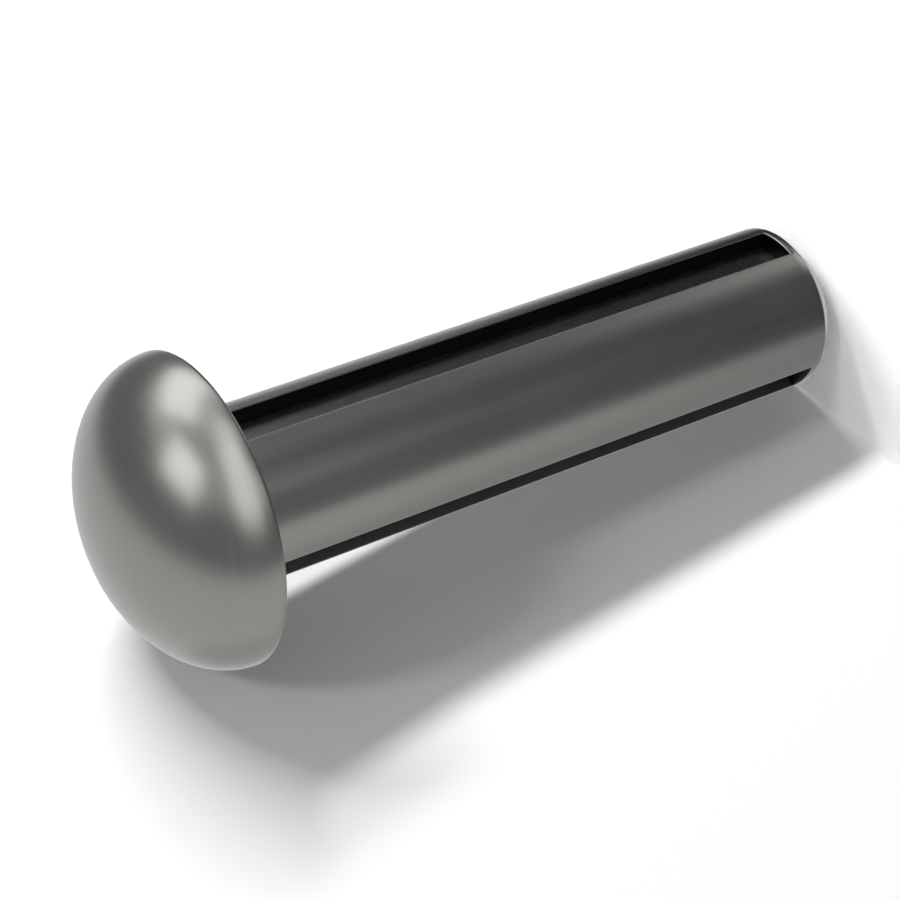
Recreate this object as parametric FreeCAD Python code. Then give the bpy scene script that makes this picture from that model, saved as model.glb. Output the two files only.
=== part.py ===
import FreeCAD, Part
import math
import os

# Round head grooved pin, one solid piece of steel, in millimetres.
# It stands on its flat tip: the origin is the middle of the tip face, the axis is +Z
# and the domed head is on top. One groove faces the front, -Y.

# Shank
shank_diameter = 6.0
length_under_head = 25.0
tip_chamfer = 0.7

# Head: half an ellipse turned round the axis, upright where it meets its flat underside
head_diameter = 10.8
head_height = 3.65
rim_radius = 0.05

# Grooves: straight walls, flat floor, a flat wall across each end
groove_count = 3
groove_width = 1.5
groove_depth = 0.67
groove_land_at_tip = 0.3
groove_land_at_head = 0.5
first_groove_angle = -90.0

# How far a cutter reaches past the surface that it opens
cutter_clearance = 1.0

# How closely an edge must match a size to be picked by it
match_tolerance = 1e-6

# Sizes that follow from the ones above
shank_radius = shank_diameter / 2
head_radius = head_diameter / 2
groove_bottom = tip_chamfer + groove_land_at_tip
groove_top = length_under_head - groove_land_at_head
floor_distance = shank_radius - groove_depth

ORIGIN = FreeCAD.Vector(0, 0, 0)
AXIS = FreeCAD.Vector(0, 0, 1)


def at(radius, height):
    return FreeCAD.Vector(radius, 0, height)


def dome_edge():
    # A quarter of the ellipse, from the rim up to the crown on the axis
    rim_point = at(head_radius, length_under_head)
    crown_point = at(0, length_under_head + head_height)
    ellipse = Part.Ellipse(rim_point, crown_point, at(0, length_under_head))
    return ellipse.toShape(0, math.pi / 2)


def turned_blank():
    # Tip face, chamfer, shank, underside of the head and dome, as one turned outline.
    # The shank's line is broken level with the ends of the grooves, so that the wall
    # between two grooves is a face of its own and the rings above and below are whole.
    corners = [
        at(0, length_under_head + head_height),
        at(0, 0),
        at(shank_radius - tip_chamfer, 0),
        at(shank_radius, tip_chamfer),
        at(shank_radius, groove_bottom),
        at(shank_radius, groove_top),
        at(shank_radius, length_under_head),
        at(head_radius, length_under_head),
    ]
    outline = Part.Wire(Part.makePolygon(corners).Edges + [dome_edge()])
    return Part.Face(outline).revolve(ORIGIN, AXIS, 360)


def is_rim(edge):
    box = edge.BoundBox
    return abs(box.XLength - head_diameter) < match_tolerance and box.ZLength < match_tolerance


def groove_cutter(index):
    reach = groove_depth + cutter_clearance
    corner = FreeCAD.Vector(floor_distance, -groove_width / 2, groove_bottom)
    cutter = Part.makeBox(reach, groove_width, groove_top - groove_bottom, corner)
    cutter.rotate(ORIGIN, AXIS, first_groove_angle + index * 360 / groove_count)
    return cutter


blank = turned_blank()
rim = [edge for edge in blank.Edges if is_rim(edge)]
pin = blank.makeFillet(rim_radius, rim)
for index in range(groove_count):
    pin = pin.cut(groove_cutter(index))

os.makedirs("parts", exist_ok=True)
pin.exportStep("parts/grooved_pin.step")
print("volume", round(pin.Volume, 2), "valid", pin.isValid(), "solids", len(pin.Solids), "faces", len(pin.Faces))
print("box", pin.BoundBox)
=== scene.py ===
# %% [markdown]
# # A round head grooved pin in satin steel
# The real pin is one piece of bar: a plain shank with three straight grooves, a domed head
# on one end and a small chamfer on the other. This lesson builds it again over the exact
# CAD solid, so that its edges can be broken the way a tumbled part's edges are, gives it a
# steel finish, and lights it like a small product in a studio.
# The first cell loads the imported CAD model, which is the frame that everything follows.

# %% Load the frame
import bmesh
import bpy
import math
from mathutils import Matrix, Vector


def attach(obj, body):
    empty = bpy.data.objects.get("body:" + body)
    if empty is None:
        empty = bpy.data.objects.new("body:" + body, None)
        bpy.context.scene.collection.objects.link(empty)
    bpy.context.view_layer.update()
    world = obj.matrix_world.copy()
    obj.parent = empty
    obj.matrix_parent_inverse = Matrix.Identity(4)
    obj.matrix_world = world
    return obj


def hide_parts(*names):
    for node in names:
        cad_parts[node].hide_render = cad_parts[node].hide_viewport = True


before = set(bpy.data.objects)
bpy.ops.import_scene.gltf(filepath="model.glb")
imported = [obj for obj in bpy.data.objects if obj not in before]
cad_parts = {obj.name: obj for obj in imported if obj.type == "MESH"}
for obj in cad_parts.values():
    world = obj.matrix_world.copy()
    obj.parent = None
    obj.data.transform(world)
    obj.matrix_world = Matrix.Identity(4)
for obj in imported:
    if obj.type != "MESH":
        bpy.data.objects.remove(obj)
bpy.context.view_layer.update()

# %% [markdown]
# The sizes are the pin's own, in millimetres. Only the head is 0.005 mm less in radius than
# the solid's, so that its many corners stay inside the solid's box. The mesh is made at one
# unit to the millimetre, because Blender's modelling tools are coarse below a tenth of a
# millimetre when a unit is a metre. The last modelling cell brings it down to metres.

# %% Sizes of the pin
shank_radius = 3.0
length_under_head = 25.0
tip_chamfer = 0.7
head_radius = 5.395
head_height = 3.65
groove_count = 3
groove_half_width = 0.75
groove_floor = 2.33
groove_bottom = 1.0
groove_top = 24.5
tip_radius = shank_radius - tip_chamfer
crown_height = length_under_head + head_height
MM = 0.001
print("pin is", crown_height, "mm long and", 2 * head_radius, "mm across the head")


# %% [markdown]
# Every operator works on what is selected, and the loaded CAD nodes start selected. These
# helpers put the selection in the hands of the script: one clears it, the next goes through
# the open mesh and keeps the faces or edges that pass a test of their place.

# %% Selection helpers
def deselect_all():
    bpy.ops.object.select_all(action="DESELECT")


def pick(piece, kind, test):
    # The kind is FACE or EDGE, and what comes back is how many passed the test
    mesh = bmesh.from_edit_mesh(piece.data)
    bpy.ops.mesh.select_all(action="DESELECT")
    bpy.ops.mesh.select_mode(type=kind)
    parts = mesh.faces if kind == "FACE" else mesh.edges
    for part in parts:
        part.select_set(test(part))
    bmesh.update_edit_mesh(piece.data)
    return sum(part.select for part in parts)


def middle_of(edge):
    return (edge.verts[0].co + edge.verts[1].co) / 2


print("CAD nodes selected at the start:", len(bpy.context.selected_objects))

# %% [markdown]
# The blank could be turned with the Spin tool from a drawn profile, or raised ring by ring
# from the tip. Raising it ring by ring is chosen here: each step of the profile is one
# extrude and one scale, so every ring has the same corners and the quads stay in line.
# The head is half an ellipse: equal steps of its angle put the rings closest together at
# the rim, where the surface turns fastest.

# %% Raise the blank from the tip to the crown
ring_corners = 180
dome_steps = 40

profile = [
    (shank_radius, tip_chamfer),
    (shank_radius, groove_bottom),
    (shank_radius, groove_top),
    (shank_radius, length_under_head),
    (head_radius, length_under_head),
]
for step in range(1, dome_steps):
    angle = math.radians(90) * step / dome_steps
    dome_height = length_under_head + head_height * math.sin(angle)
    profile.append((head_radius * math.cos(angle), dome_height))

deselect_all()
bpy.ops.mesh.primitive_circle_add(vertices=ring_corners, radius=tip_radius)
pin = bpy.context.object
pin.name = "grooved_pin_body"
bpy.ops.object.mode_set(mode="EDIT")
bpy.ops.mesh.select_all(action="SELECT")
radius, height = tip_radius, 0.0
for next_radius, next_height in profile:
    bpy.ops.mesh.extrude_region_move(TRANSFORM_OT_translate={"value": (0, 0, next_height - height)})
    scale = next_radius / radius
    bpy.ops.transform.resize(value=(scale, scale, 1), center_override=(0, 0, next_height))
    radius, height = next_radius, next_height
bpy.ops.mesh.extrude_region_move(TRANSFORM_OT_translate={"value": (0, 0, crown_height - height)})
bpy.ops.mesh.merge(type="CENTER")
print("rings raised:", len(profile) + 1, "top of the crown at", crown_height)

# %% [markdown]
# The tip is still open. Its ring is picked by its height, filled with one flat face, and
# all faces are turned outwards.

# %% Close the tip
near = 0.001


def is_at_the_foot(edge):
    return middle_of(edge).z < near


pick(pin, "EDGE", is_at_the_foot)
bpy.ops.mesh.edge_face_add()
bpy.ops.mesh.select_all(action="SELECT")
bpy.ops.mesh.normals_make_consistent(inside=False)
print("faces in the blank:", len(bmesh.from_edit_mesh(pin.data).faces))

# %% [markdown]
# The grooves are cut as on a milling machine: cut one, turn the blank a third of a turn,
# cut the next. Two bisect planes mark the side walls on the front of the shank, the strip
# between them is extruded, and scaling the new faces to nothing along Y lays them flat on
# the groove's floor. The side walls then stand upright and the end walls stay square,
# which a boolean would give too, but with long thin faces along the shank.

# %% Cut the three grooves
def faces_the_front(face):
    centre = face.calc_center_median()
    return centre.y < -shank_radius / 2 and groove_bottom < centre.z < groove_top


def lies_in_the_strip(face):
    return faces_the_front(face) and abs(face.calc_center_median().x) < groove_half_width


middle_height = (groove_bottom + groove_top) / 2
third_of_a_turn = math.radians(360 / groove_count)
cut_threshold = 0.0001
for cut in range(groove_count):
    for side in (-1, 1):
        pick(pin, "FACE", faces_the_front)
        wall_place = (side * groove_half_width, 0, middle_height)
        bpy.ops.mesh.bisect(plane_co=wall_place, plane_no=(1, 0, 0), threshold=cut_threshold)
    strip = pick(pin, "FACE", lies_in_the_strip)
    bpy.ops.mesh.extrude_region_move(TRANSFORM_OT_translate={"value": (0, 0, 0)})
    bpy.ops.transform.resize(value=(1, 0, 1), center_override=(0, -groove_floor, middle_height))
    bpy.ops.mesh.select_all(action="SELECT")
    bpy.ops.transform.rotate(
        value=third_of_a_turn, orient_axis="Z", center_override=(0, 0, middle_height))
    print("groove", cut + 1, "cut from", strip, "faces")

# %% [markdown]
# No edge of a real pin is a knife edge: tumbling leaves a tiny round that catches the light
# as a thin line. The rim of the head, the mouths of the grooves, the chamfer and the tip all
# get a break of a few hundredths of a millimetre. The edges are picked by place, so that
# the inside corners of the grooves stay sharp.

# %% Break the outer edges
edge_break = 0.05
break_segments = 3
sharp_angle = math.radians(30)
radius_margin = 0.01


def is_rim(edge):
    middle = middle_of(edge)
    level = abs(edge.verts[0].co.z - edge.verts[1].co.z) < near
    under_the_head = abs(middle.z - length_under_head) < near
    return level and under_the_head and middle.xy.length > head_radius - radius_margin


def is_outer_edge(edge):
    if len(edge.link_faces) != 2 or edge.calc_face_angle(0) < sharp_angle:
        return False
    middle = middle_of(edge)
    if middle.z > groove_top + near:
        return False
    at_tip = middle.z < tip_chamfer + near
    on_shank = min(vertex.co.xy.length for vertex in edge.verts) > shank_radius - radius_margin
    return at_tip or on_shank


pick(pin, "EDGE", is_rim)
bpy.ops.mesh.bevel(offset=edge_break, segments=break_segments, affect="EDGES")
broken = pick(pin, "EDGE", is_outer_edge)
bpy.ops.mesh.bevel(offset=edge_break, segments=break_segments, affect="EDGES", clamp_overlap=False)
print("edges broken:", broken)

# %% [markdown]
# The mesh is brought to metres with its scale applied, and its normals are smoothed up to
# an angle that keeps the corners of the grooves crisp. Weighted normals let the large faces
# win over the tiny bevels, so the shank's highlights run straight up to its edges.

# %% To metres, smooth shading
smooth_angle = math.radians(35)
large_face_weight = 100

bpy.ops.object.mode_set(mode="OBJECT")
pin.scale = (MM, MM, MM)
bpy.ops.object.transform_apply(location=True, rotation=True, scale=True)
bpy.ops.object.shade_smooth_by_angle(angle=smooth_angle)
weighted = pin.modifiers.new("Weighted normals", "WEIGHTED_NORMAL")
weighted.keep_sharp = True
weighted.weight = large_face_weight
bpy.ops.object.modifier_apply(modifier=weighted.name)
print("pin mesh:", len(pin.data.polygons), "faces")
print("box of the mesh in mm:", [round(size / MM, 3) for size in pin.dimensions])

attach(pin, "root")
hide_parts("grooved_pin")

# %% [markdown]
# The finish depends on where on the pin a point lies: the grooves are painted with shade,
# the edges are rubbed bright, and fine lines run along the shank from drawing. Masks
# could be painted on a map, but the pin is so regular that a few sums on the Object
# coordinates give them sharper. This group works them out once, in millimetres, for every
# finish that needs them: the distance from the axis, the height, the way round, whether a
# point is inside a groove, and how near it is to an edge. First come helpers, one for each
# kind of sum that the group needs.

# %% Helpers for sums and masks
def add_math(tree, operation, first, second=None, third=None):
    node = tree.nodes.new("ShaderNodeMath")
    node.operation = operation
    for socket, value in zip(node.inputs, (first, second, third)):
        if value is None:
            continue
        if isinstance(value, (int, float)):
            socket.default_value = value
        else:
            tree.links.new(value, socket)
    return node.outputs[0]


def times(tree, first, second):
    return add_math(tree, "MULTIPLY", first, second)


def less(tree, first, second):
    return add_math(tree, "SUBTRACT", first, second)


def below(tree, value, limit, softness):
    # One while the value is under the limit, nought once it is past it by the softness
    node = tree.nodes.new("ShaderNodeMapRange")
    node.interpolation_type = "SMOOTHSTEP"
    tree.links.new(value, node.inputs["Value"])
    node.inputs["From Min"].default_value = limit
    node.inputs["From Max"].default_value = limit + softness
    node.inputs["To Min"].default_value = 1
    node.inputs["To Max"].default_value = 0
    return node.outputs["Result"]


def past(tree, value, limit, softness):
    # The other way round: nought under the limit and one past it
    return less(tree, 1, below(tree, value, limit, softness))


def length_of(tree, across, up):
    squares = add_math(tree, "MULTIPLY_ADD", across, across, times(tree, up, up))
    return add_math(tree, "SQRT", squares)


print("helpers ready: sums, masks and lengths")

# %% [markdown]
# The group itself. A groove is told by three things: the point is under the surface of the
# shank, it is no farther from the groove's middle plane than the walls are, and its height
# lies between the two ends. The side walls and the end wall at the tip have masks of their
# own, since the painted shade is darkest on them.

# %% A group that knows the places on the pin
mask_softness = 0.02
surface_margin = 0.03
wall_margin = 0.01
wall_softness = 0.03
wall_depth = 0.05
front_turn = math.radians(90)

places = bpy.data.node_groups.new("places_on_the_pin", "ShaderNodeTree")
place_names = ("Radius", "Height", "Round", "Front", "In Groove", "On Wall", "On End", "Near Edge")
for name in place_names:
    places.interface.new_socket(name=name, in_out="OUTPUT", socket_type="NodeSocketFloat")
coordinates = places.nodes.new("ShaderNodeTexCoord")
in_mm = places.nodes.new("ShaderNodeVectorMath")
in_mm.operation = "SCALE"
in_mm.inputs["Scale"].default_value = 1 / MM
places.links.new(coordinates.outputs["Object"], in_mm.inputs[0])
split = places.nodes.new("ShaderNodeSeparateXYZ")
places.links.new(in_mm.outputs[0], split.inputs[0])
x, y, height = split.outputs
radius = length_of(places, x, y)
turn = add_math(places, "ARCTAN2", y, x)
half_third = third_of_a_turn / 2
from_front = add_math(places, "ADD", turn, front_turn)
from_groove = add_math(places, "WRAP", from_front, half_third, -half_third)
sideways = add_math(places, "ABSOLUTE", add_math(places, "SINE", from_groove))
beside_groove = times(places, radius, sideways)
under_surface = below(places, radius, shank_radius - surface_margin, mask_softness)
between_walls = below(places, beside_groove, groove_half_width + wall_margin, mask_softness)
over_the_end = past(places, height, groove_bottom - surface_margin, mask_softness)
under_the_head = below(places, height, groove_top, mask_softness)
# Front, On Wall and On End say where the painted shade in the grooves goes darker
front = add_math(places, "LESS_THAN", y, 0)
on_wall = past(places, beside_groove, groove_half_width - wall_depth, wall_softness)
on_end = below(places, height, groove_bottom + wall_margin, wall_softness)
across_and_deep = times(places, under_surface, between_walls)
in_groove = times(places, across_and_deep, times(places, over_the_end, under_the_head))
print(groove_count, "grooves,", round(math.degrees(third_of_a_turn)), "degrees apart")

# %% [markdown]
# Handling rubs the corners first: the rim of the head, the two corners of the chamfer and
# the mouths of the grooves. The nearest of these gives how much an edge is worn.

# %% Near an edge
wear_core = 0.03
wear_reach = 0.16

nearest = length_of(places, less(places, radius, head_radius), less(places, height, length_under_head))
for corner_radius, corner_height in ((shank_radius, tip_chamfer), (tip_radius, 0)):
    corner = length_of(places, less(places, radius, corner_radius), less(places, height, corner_height))
    nearest = add_math(places, "MINIMUM", nearest, corner)
from_mouth = add_math(places, "ABSOLUTE", less(places, beside_groove, groove_half_width))
from_surface = add_math(places, "ABSOLUTE", less(places, radius, shank_radius))
past_the_top = add_math(places, "GREATER_THAN", height, groove_top)
mouth = add_math(places, "ADD", add_math(places, "MAXIMUM", from_mouth, from_surface), past_the_top)
nearest = add_math(places, "MINIMUM", nearest, mouth)
near_edge = below(places, nearest, wear_core, wear_reach)

outputs = places.nodes.new("NodeGroupOutput")
results = (radius, height, turn, front, in_groove, on_wall, on_end, near_edge)
for name, value in zip(place_names, results):
    places.links.new(value, outputs.inputs[name])
print("edges are worn within", wear_reach, "mm")

# %% [markdown]
# Drawn wire carries faint lines along its length, and a forged head carries faint rings
# round its axis. Both are the same noise, stretched: along the shank it changes quickly on
# the way round and slowly with the height, on the head quickly with the radius and slowly
# on the way round. The second group turns them into one height for the bump and one mask
# for the shine.

# %% A group for drawn lines and forged rings
def stretched_noise(tree, coordinate, detail, roughness):
    node = tree.nodes.new("ShaderNodeTexNoise")
    node.noise_dimensions = "3D"
    tree.links.new(coordinate, node.inputs["Vector"])
    node.inputs["Scale"].default_value = 1
    node.inputs["Detail"].default_value = detail
    node.inputs["Roughness"].default_value = roughness
    return node.outputs["Fac"]


def joined(tree, first, second, third):
    node = tree.nodes.new("ShaderNodeCombineXYZ")
    for socket, value in zip(node.inputs, (first, second, third)):
        tree.links.new(value, socket)
    return node.outputs[0]


lines_per_radian = 26
line_stretch = 0.12
rings_per_mm = 9
ring_wobble = 1.5
cloud_scale = 0.55
cloud_stretch = 0.3
seam_margin = 0.01

tool_marks = bpy.data.node_groups.new("tool_marks", "ShaderNodeTree")
for name in ("Lines", "Clouds"):
    tool_marks.interface.new_socket(name=name, in_out="OUTPUT", socket_type="NodeSocketFloat")
place = tool_marks.nodes.new("ShaderNodeGroup")
place.node_tree = places
east = add_math(tool_marks, "COSINE", place.outputs["Round"])
north = add_math(tool_marks, "SINE", place.outputs["Round"])
along_shank = joined(
    tool_marks, times(tool_marks, east, lines_per_radian), times(tool_marks, north, lines_per_radian),
    times(tool_marks, place.outputs["Height"], line_stretch))
round_head = joined(
    tool_marks, times(tool_marks, east, ring_wobble), times(tool_marks, north, ring_wobble),
    times(tool_marks, place.outputs["Radius"], rings_per_mm))
drawn = stretched_noise(tool_marks, along_shank, detail=5, roughness=0.6)
forged = stretched_noise(tool_marks, round_head, detail=4, roughness=0.55)
head_start = length_under_head - seam_margin
on_head = add_math(tool_marks, "GREATER_THAN", place.outputs["Height"], head_start)
either = tool_marks.nodes.new("ShaderNodeMix")
tool_marks.links.new(on_head, either.inputs["Factor"])
tool_marks.links.new(drawn, either.inputs["A"])
tool_marks.links.new(forged, either.inputs["B"])
cloud_radius = times(tool_marks, place.outputs["Radius"], cloud_scale)
cloud_place = joined(
    tool_marks, times(tool_marks, cloud_radius, east), times(tool_marks, cloud_radius, north),
    times(tool_marks, place.outputs["Height"], cloud_stretch))
clouds = stretched_noise(tool_marks, cloud_place, detail=3, roughness=0.5)
marks_out = tool_marks.nodes.new("NodeGroupOutput")
tool_marks.links.new(either.outputs["Result"], marks_out.inputs["Lines"])
tool_marks.links.new(clouds, marks_out.inputs["Clouds"])
print("about", round(lines_per_radian * 2 * math.pi), "drawn lines round the shank")

# %% [markdown]
# Steel is a metal, so its colour is the tint of its reflections: a dark, slightly warm
# grey. On it the lines and clouds move the tone by a few parts in a hundred, which is all
# that a photograph of such a pin shows. The grooves are duller, and they carry painted
# shade: darker than the steel, the front one darker than the other two, and darkest of all
# at their ends at the tip and on the walls of the front one. The worn edges are lighter and
# smoother. The floor of the front groove is the exception: it is smooth enough to mirror
# the wall beside it. The tones are mixed first.

# %% Satin steel
steel_tone = (0.266, 0.261, 0.2495, 1)
# Painted shade for the grooves: the front groove's floor, the walls and end walls, and the side grooves
front_floor_shade_tone = (0.150, 0.146, 0.142, 1)
wall_shade_tone = (0.036, 0.035, 0.034, 1)
side_groove_shade_tone = (0.200, 0.196, 0.190, 1)
edge_tone = (0.31, 0.304, 0.293, 1)
tone_change = 0.12
line_share = 0.6
wear_patchiness = 1.2
wear_loss = -0.1

steel = bpy.data.materials.new("satin_steel")
steel.use_nodes = True
tree = steel.node_tree
surface = tree.nodes["Principled BSDF"]
surface.inputs["Metallic"].default_value = 1.0
place = tree.nodes.new("ShaderNodeGroup")
place.node_tree = places
marks = tree.nodes.new("ShaderNodeGroup")
marks.node_tree = tool_marks
lines, clouds = marks.outputs["Lines"], marks.outputs["Clouds"]
unevenness = add_math(tree, "MULTIPLY_ADD", clouds, 1 - line_share, times(tree, lines, line_share))
around_zero = less(tree, unevenness, 0.5)
patches = add_math(tree, "MULTIPLY_ADD", clouds, wear_patchiness, wear_loss)
worn = times(tree, place.outputs["Near Edge"], patches)
groove_mask = place.outputs["In Groove"]


def mixed_colour(factor, first, second):
    # A Mix node has a set of sockets for each kind of value, and these are its colour ones
    node = tree.nodes.new("ShaderNodeMix")
    node.data_type = "RGBA"
    tree.links.new(factor, node.inputs["Factor"])
    for socket, value in ((node.inputs[6], first), (node.inputs[7], second)):
        if isinstance(value, tuple):
            socket.default_value = value
        else:
            tree.links.new(value, socket)
    return node.outputs[2]


# The painted shade in the grooves is mixed here: front floor and walls, side grooves, and the end walls at
# the tip
front_groove_shade = mixed_colour(place.outputs["On Wall"], front_floor_shade_tone, wall_shade_tone)
groove_shade_tone = mixed_colour(place.outputs["Front"], side_groove_shade_tone, front_groove_shade)
groove_shade_tone = mixed_colour(place.outputs["On End"], groove_shade_tone, wall_shade_tone)
tone = mixed_colour(groove_mask, mixed_colour(worn, steel_tone, edge_tone), groove_shade_tone)
shade = tree.nodes.new("ShaderNodeVectorMath")
shade.operation = "SCALE"
tree.links.new(tone, shade.inputs[0])
tree.links.new(add_math(tree, "MULTIPLY_ADD", around_zero, 2 * tone_change, 1), shade.inputs["Scale"])
tree.links.new(shade.outputs[0], surface.inputs["Base Color"])
print("steel tone", steel_tone[:3], "give or take", round(100 * tone_change), "per cent")

# %% [markdown]
# The shine follows the same masks: wear changes the tone and the roughness alike, and the
# grooves, whose darker tone is painted shade, are duller too. The drawn lines could be
# pressed into the mesh, but they are a quarter of a thousandth of a millimetre deep, so a
# bump is enough, and it is kept low in the grooves, which the drawing die never touched.

# %% Shine and drawn lines
steel_roughness = 0.3
roughness_change = 0.05
groove_dullness = 0.06
floor_polish = -0.09
wear_polish = -0.04
line_depth = 0.00025 * MM
lines_lost_in_grooves = -0.85

dullness = add_math(tree, "MULTIPLY_ADD", around_zero, 2 * roughness_change, steel_roughness)
dullness = add_math(tree, "MULTIPLY_ADD", groove_mask, groove_dullness, dullness)
front_groove = times(tree, groove_mask, place.outputs["Front"])
smooth_floor = times(tree, front_groove, less(tree, 1, place.outputs["On Wall"]))
dullness = add_math(tree, "MULTIPLY_ADD", smooth_floor, floor_polish, dullness)
dullness = add_math(tree, "MULTIPLY_ADD", worn, wear_polish, dullness)
tree.links.new(dullness, surface.inputs["Roughness"])

bump = tree.nodes.new("ShaderNodeBump")
bump.inputs["Strength"].default_value = 1.0
bump.inputs["Distance"].default_value = line_depth
quiet_grooves = add_math(tree, "MULTIPLY_ADD", groove_mask, lines_lost_in_grooves, 1)
tree.links.new(times(tree, lines, quiet_grooves), bump.inputs["Height"])
tree.links.new(bump.outputs["Normal"], surface.inputs["Normal"])

pin.data.materials.clear()
pin.data.materials.append(steel)
print("steel roughness", steel_roughness, "give or take", roughness_change)

# %% [markdown]
# The stage is white paper. A lit paper should come out pure white, and more light would
# burn out the pin and its shadow, so the paper gets a small lift instead: a little light of
# its own that only the eye sees, through the Light Path node. The paper itself is left as it
# is, so that it keeps the shadow. A paper can also be made one-sided: its back lets the
# camera through.

# %% Paper
paper_white = 0.92


def seen_directly(nodes, links):
    # One where the camera, a mirror or glass looks, nought where light only bounces
    path = nodes.new("ShaderNodeLightPath")
    camera_or_gloss = nodes.new("ShaderNodeMath")
    camera_or_gloss.operation = "MAXIMUM"
    links.new(path.outputs["Is Camera Ray"], camera_or_gloss.inputs[0])
    links.new(path.outputs["Is Glossy Ray"], camera_or_gloss.inputs[1])
    or_glass = nodes.new("ShaderNodeMath")
    or_glass.operation = "MAXIMUM"
    links.new(camera_or_gloss.outputs[0], or_glass.inputs[0])
    links.new(path.outputs["Is Transmission Ray"], or_glass.inputs[1])
    return or_glass.outputs[0], path


def paper_material(name, lift, one_sided):
    material = bpy.data.materials.new(name)
    material.use_nodes = True
    nodes = material.node_tree.nodes
    links = material.node_tree.links
    shader = nodes["Principled BSDF"]
    shader.inputs["Base Color"].default_value = (paper_white, paper_white, paper_white, 1)
    shader.inputs["Roughness"].default_value = 1.0
    shader.inputs["Specular IOR Level"].default_value = 0.0
    seen, path = seen_directly(nodes, links)
    glow = nodes.new("ShaderNodeMath")
    glow.operation = "MULTIPLY"
    glow.inputs[1].default_value = lift
    links.new(seen, glow.inputs[0])
    shader.inputs["Emission Color"].default_value = (1, 1, 1, 1)
    links.new(glow.outputs[0], shader.inputs["Emission Strength"])
    if one_sided:
        geometry = nodes.new("ShaderNodeNewGeometry")
        from_behind = nodes.new("ShaderNodeMath")
        from_behind.operation = "MULTIPLY"
        links.new(geometry.outputs["Backfacing"], from_behind.inputs[0])
        links.new(path.outputs["Is Camera Ray"], from_behind.inputs[1])
        clear = nodes.new("ShaderNodeBsdfTransparent")
        either = nodes.new("ShaderNodeMixShader")
        links.new(from_behind.outputs[0], either.inputs["Fac"])
        links.new(shader.outputs[0], either.inputs[1])
        links.new(clear.outputs[0], either.inputs[2])
        links.new(either.outputs[0], nodes["Material Output"].inputs["Surface"])
    return material


print("paper sends back", paper_white, "of the light")

# %% [markdown]
# The pin stands on a pale floor. In the photograph it lies on a white sheet, so a second
# white sheet leans against it from behind, touching the rim of the head and the edge of the
# tip as that sheet does, and takes the shadow. Seen from behind it would hide the pin, so
# it is one-sided, and it casts no shadow on the floor there. Both papers are left out of
# the mirror images in the steel, where the white room stands in for them: a pin that stands
# this close to a floor would otherwise mirror nothing else. The floor sends no light of its
# own to the sheet either, which would pale the shadow.

# %% Floor and leaning sheet
floor_size = 3
floor_lift = 0.115
sheet_size = 0.4
sheet_lift = 0.01
lean = math.atan2(head_radius - shank_radius, length_under_head - tip_chamfer)
sheet_foot = (shank_radius - tip_chamfer * math.tan(lean)) * MM

deselect_all()
bpy.ops.mesh.primitive_plane_add(size=floor_size)
floor = bpy.context.object
floor.name = "floor"
floor.data.materials.append(paper_material("floor_paper", floor_lift, False))
floor.visible_glossy = False
floor.visible_shadow = False
floor.visible_diffuse = False

deselect_all()
bpy.ops.mesh.primitive_plane_add(size=sheet_size)
sheet = bpy.context.object
sheet.name = "leaning_sheet"
sheet.rotation_euler = (math.radians(90) - lean, 0, 0)
half_sheet = sheet_size / 2
sheet.location = (0, sheet_foot + math.sin(lean) * half_sheet, math.cos(lean) * half_sheet)
sheet.data.materials.append(paper_material("sheet_paper", sheet_lift, True))
sheet.visible_glossy = False
sheet.visible_shadow = False
print("the sheet leans", round(math.degrees(lean), 2), "degrees")

# %% [markdown]
# The photographer's lamps and cards are easiest to name from the sheet that the pin lies
# on: an azimuth along it, from the right of the picture round to the far side, and an
# elevation above it. This cell turns such a pair of angles into a direction of the scene.
# The right of the picture is the camera's own right, laid down on the sheet.

# %% Directions over the sheet
sheet_up = Vector((0, -math.cos(lean), math.sin(lean)))
picture_right = Vector((-0.566, -0.078, -0.821))
picture_right -= picture_right.dot(sheet_up) * sheet_up
picture_right.normalize()
picture_away = sheet_up.cross(picture_right)
sheet_frame = Matrix((picture_right, picture_away, sheet_up)).transposed()
aim_height = 14
pin_middle = Vector((0, 0, aim_height * MM))


def over_sheet(azimuth, elevation):
    azimuth, elevation = math.radians(azimuth), math.radians(elevation)
    level = math.cos(elevation)
    along = Vector((level * math.cos(azimuth), level * math.sin(azimuth), math.sin(elevation)))
    return sheet_frame @ along


print("straight up from the sheet is", [round(part, 3) for part in sheet_up])

# %% [markdown]
# Steel shows its surroundings, so the highlights on the head say where the soft boxes hang:
# one in front on the left, a tall one in front on the right, a wide one behind on the left,
# and two small ones. Each has a brightness, where one is the white of the room, and then,
# all in degrees, a place as azimuth and elevation, a width and height as seen from the pin,
# and a turn. Some reach below the floor, which the steel doesn't see. The boxes are seen in
# the steel only: the paper has lamps of its own in the next cell, so that the shadow and
# the shine can be set one at a time.

# %% Soft boxes seen in the steel
box_distance = 0.35
front_box = 2.267
near_box = 1.19
far_box = 1.9
low_box = 1.67
top_box = 1.005


def seen_as(degrees):
    return 2 * box_distance * math.tan(math.radians(degrees / 2))


def soft_box(name, brightness, place, size, turn=0, shape="RECTANGLE"):
    light = bpy.data.lights.new(name, "AREA")
    light.shape = shape
    light.size, light.size_y = seen_as(size[0]), seen_as(size[1])
    area = light.size * light.size_y * (math.pi / 4 if shape == "ELLIPSE" else 1)
    light.energy = brightness * math.pi * area
    azimuth, elevation = place
    outwards = over_sheet(azimuth, elevation)
    level = over_sheet(azimuth + 90, 0)
    upright = outwards.cross(level)
    tilt = math.radians(turn)
    across = math.cos(tilt) * level + math.sin(tilt) * upright
    axes = Matrix((across, outwards.cross(across), outwards)).transposed()
    box = bpy.data.objects.new(name, light)
    bpy.context.scene.collection.objects.link(box)
    box.location = pin_middle + outwards * box_distance
    box.rotation_euler = axes.to_euler()
    box.visible_camera = False
    return box


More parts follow.
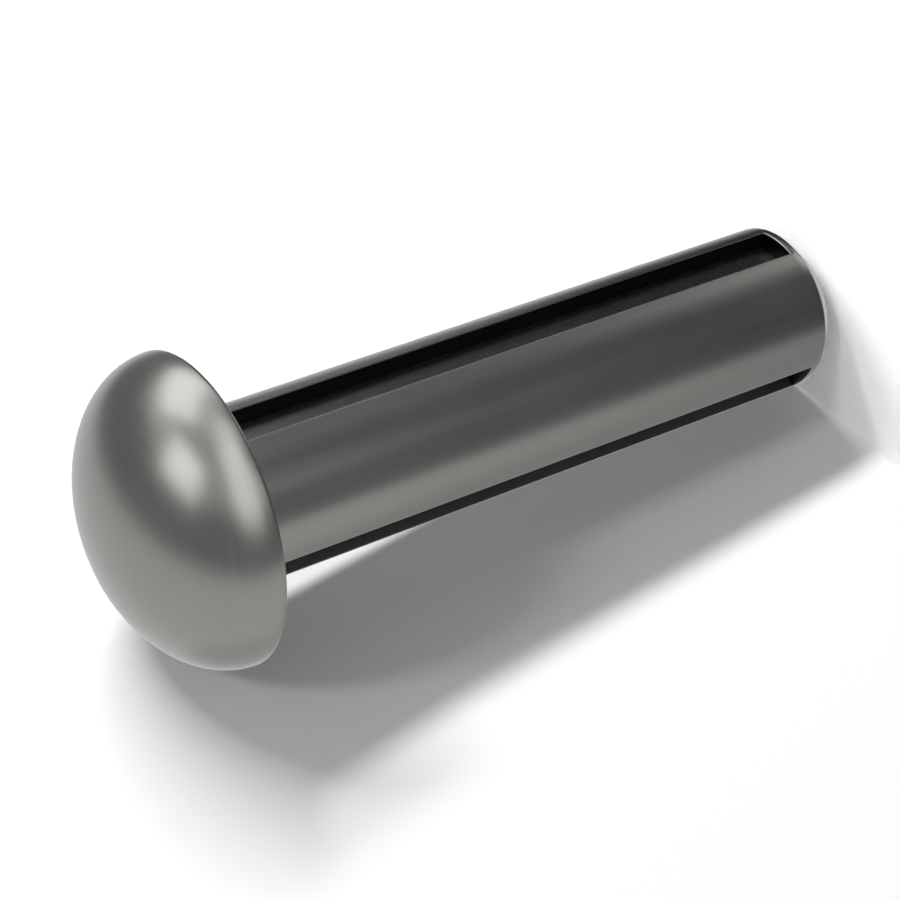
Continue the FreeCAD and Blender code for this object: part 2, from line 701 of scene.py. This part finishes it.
for box in (
    soft_box("front_box", front_box, place=(-147.9, 37.0), size=(30.6, 29)),
    soft_box("near_box", near_box, place=(-64.3, 47.1), size=(32.4, 57), turn=-2.8),
    soft_box("far_box", far_box, place=(127.4, 50.9), size=(51.2, 32), turn=23.8),
    soft_box("low_box", low_box, place=(41.9, 32.8), size=(24.8, 24.8), shape="ELLIPSE"),
    soft_box("top_box", top_box, place=(-9.7, 79.3), size=(28.6, 28.6), shape="ELLIPSE"),
):
    box.visible_diffuse = False
    print(box.name, "gives", round(box.data.energy, 3), "watts")

# %% [markdown]
# The shadow in the photograph has a crisp edge along the shank and a soft one round the
# head and past the tip. One narrow lamp, 38 degrees long and nearly parallel to the pin,
# does that: it is almost a point across the shank and a long line along it. A weaker lamp
# on the left gives the head its second, paler shade, and the room's own light keeps the
# shadow from going black. The strip's lower end is below the floor, so the floor lets its
# light by and has a lamp of its own: light linking keeps that lamp off everything else.

# %% Lamps for the paper
strip_light = 44.2
left_fill = 21.0
floor_light = 33.0

strip_lamp = soft_box("strip_lamp", strip_light, place=(128.7, 51.9), size=(38, 6.2), turn=5.6)
left_lamp = soft_box("left_fill_lamp", left_fill, place=(-151.1, 39.2), size=(8.6, 8.6))
floor_lamp = soft_box("floor_lamp", floor_light, place=(132.8, 29.4), size=(24.6, 24.6))
for lamp in (strip_lamp, left_lamp, floor_lamp):
    lamp.visible_glossy = False
    print(lamp.name, "gives", round(lamp.data.energy, 3), "watts")

lit_floor = bpy.data.collections.new("lit_floor")
lit_floor.objects.link(floor)
floor_lamp.light_linking.receiver_collection = lit_floor

# %% [markdown]
# In a white room polished steel looks flat. A photographer stands black and grey cards
# round it, out of the picture, and the dark bands between the highlights are those cards:
# a black one on the right with a wing behind it, a low dark ring the rest of the way
# round, and grey ones on the left, on the right below, and under the pin. A small white one
# past the tip lights the chamfer. Each is a band of a wide cone round the pin, between two
# elevations, with the faces outside its sector of azimuths deleted. Cards that meet share
# the angle where they meet.

# %% Cards seen in the steel
black_card = 0.112
ring_card = 0.29
left_card = 0.67
lower_card = 0.545
under_card = 0.75
wing_card = 0.0
tip_card = 1.0

cone_corners = 180
cards_foot = -12
under_top = -68
ring_top = 29
cards_start = -22
black_end = 68
wing_end = 92


def card_material(name, grey):
    material = bpy.data.materials.new(name)
    material.use_nodes = True
    nodes = material.node_tree.nodes
    card = nodes.new("ShaderNodeEmission")
    card.inputs["Strength"].default_value = grey
    material.node_tree.links.new(card.outputs[0], nodes["Material Output"].inputs["Surface"])
    return material


def stand_card(name, grey, elevations, sector, distance=0.8):
    low, high = math.radians(elevations[0]), math.radians(elevations[1])
    start, end = sector
    middle = distance * (math.sin(low) + math.sin(high)) / 2
    deselect_all()
    bpy.ops.mesh.primitive_cone_add(
        vertices=cone_corners, end_fill_type="NOTHING", depth=distance * (math.sin(high) - math.sin(low)),
        radius1=distance * math.cos(low), radius2=distance * math.cos(high),
        location=pin_middle + middle * sheet_up, rotation=sheet_frame.to_euler())
    card = bpy.context.object
    card.name = name
    bpy.ops.object.mode_set(mode="EDIT")

    def outside(face):
        centre = face.calc_center_median()
        return (math.degrees(math.atan2(centre.y, centre.x)) - start) % 360 > end - start

    if end - start < 360:
        pick(card, "FACE", outside)
        bpy.ops.mesh.delete(type="FACE")
    bpy.ops.object.mode_set(mode="OBJECT")
    card.data.materials.append(card_material(name + "_paper", grey))
    card.visible_camera = False
    card.visible_diffuse = False
    card.visible_shadow = False
    card.visible_transmission = False
    print(name, "has", len(card.data.polygons), "faces")


stand_card("black_card", black_card, elevations=(cards_foot, 70), sector=(cards_start, black_end))
stand_card("wing_card", wing_card, elevations=(cards_foot, 42), sector=(black_end, wing_end))
stand_card("ring_card", ring_card, elevations=(cards_foot, ring_top), sector=(wing_end, cards_start + 360))
stand_card("left_card", left_card, elevations=(ring_top, 74), sector=(-178, -92))
stand_card("lower_card", lower_card, elevations=(under_top, cards_foot), sector=(cards_start, 43))
stand_card("under_card", under_card, elevations=(-89.9, under_top), sector=(0, 360))
stand_card("tip_card", tip_card, elevations=(-10, 14), sector=(22, 52), distance=0.7)

# %% [markdown]
# The room is white where the camera or the steel sees it, and dim for all else, because the
# lamps above light the paper. Its light isn't aimed at, only met, so that a card in the way
# really hides it.

# %% The room around the stage
room_light = 0.288
room_white = 1.0
room = bpy.data.worlds.new("white_room")
bpy.context.scene.world = room
room.use_nodes = True
room.cycles.sampling_method = "NONE"
nodes = room.node_tree.nodes
links = room.node_tree.links
seen, path = seen_directly(nodes, links)
strength = nodes.new("ShaderNodeMix")
strength.data_type = "FLOAT"
strength.inputs["A"].default_value = room_light
strength.inputs["B"].default_value = room_white
links.new(seen, strength.inputs["Factor"])
nodes["Background"].inputs["Color"].default_value = (1, 1, 1, 1)
links.new(strength.outputs["Result"], nodes["Background"].inputs["Strength"])
print("the room is", room_white, "to the eye and", room_light, "as light")

# %% [markdown]
# The camera sits at the photograph's own viewpoint, which was found by fitting a lens and a
# place to the pin's outline. The pin stands, and in the photograph it lies, so the camera
# is rolled by as much. It is a long lens about 9.6 cm from the middle of the pin, close
# enough for the head to loom over the tip. Its near clipping is pulled in for the same
# reason.

# %% Camera
camera_place = Vector((-60.033, -57.046, 61.912)) * MM
camera_turns = (-31.115, 55.1562, -172.1356)
focal_length = 111.165
sensor_width = 36
nearest_seen = 1 * MM

camera_data = bpy.data.cameras.new("camera")
camera_data.sensor_width = sensor_width
camera_data.lens = focal_length
camera_data.clip_start = nearest_seen
camera = bpy.data.objects.new("camera", camera_data)
camera.location = camera_place
camera.rotation_euler = [math.radians(turn) for turn in camera_turns]
bpy.context.scene.collection.objects.link(camera)
bpy.context.scene.camera = camera
bpy.context.scene.view_settings.view_transform = "Standard"
print("camera", round((camera_place - pin_middle).length / MM, 1), "mm from the middle of the pin")
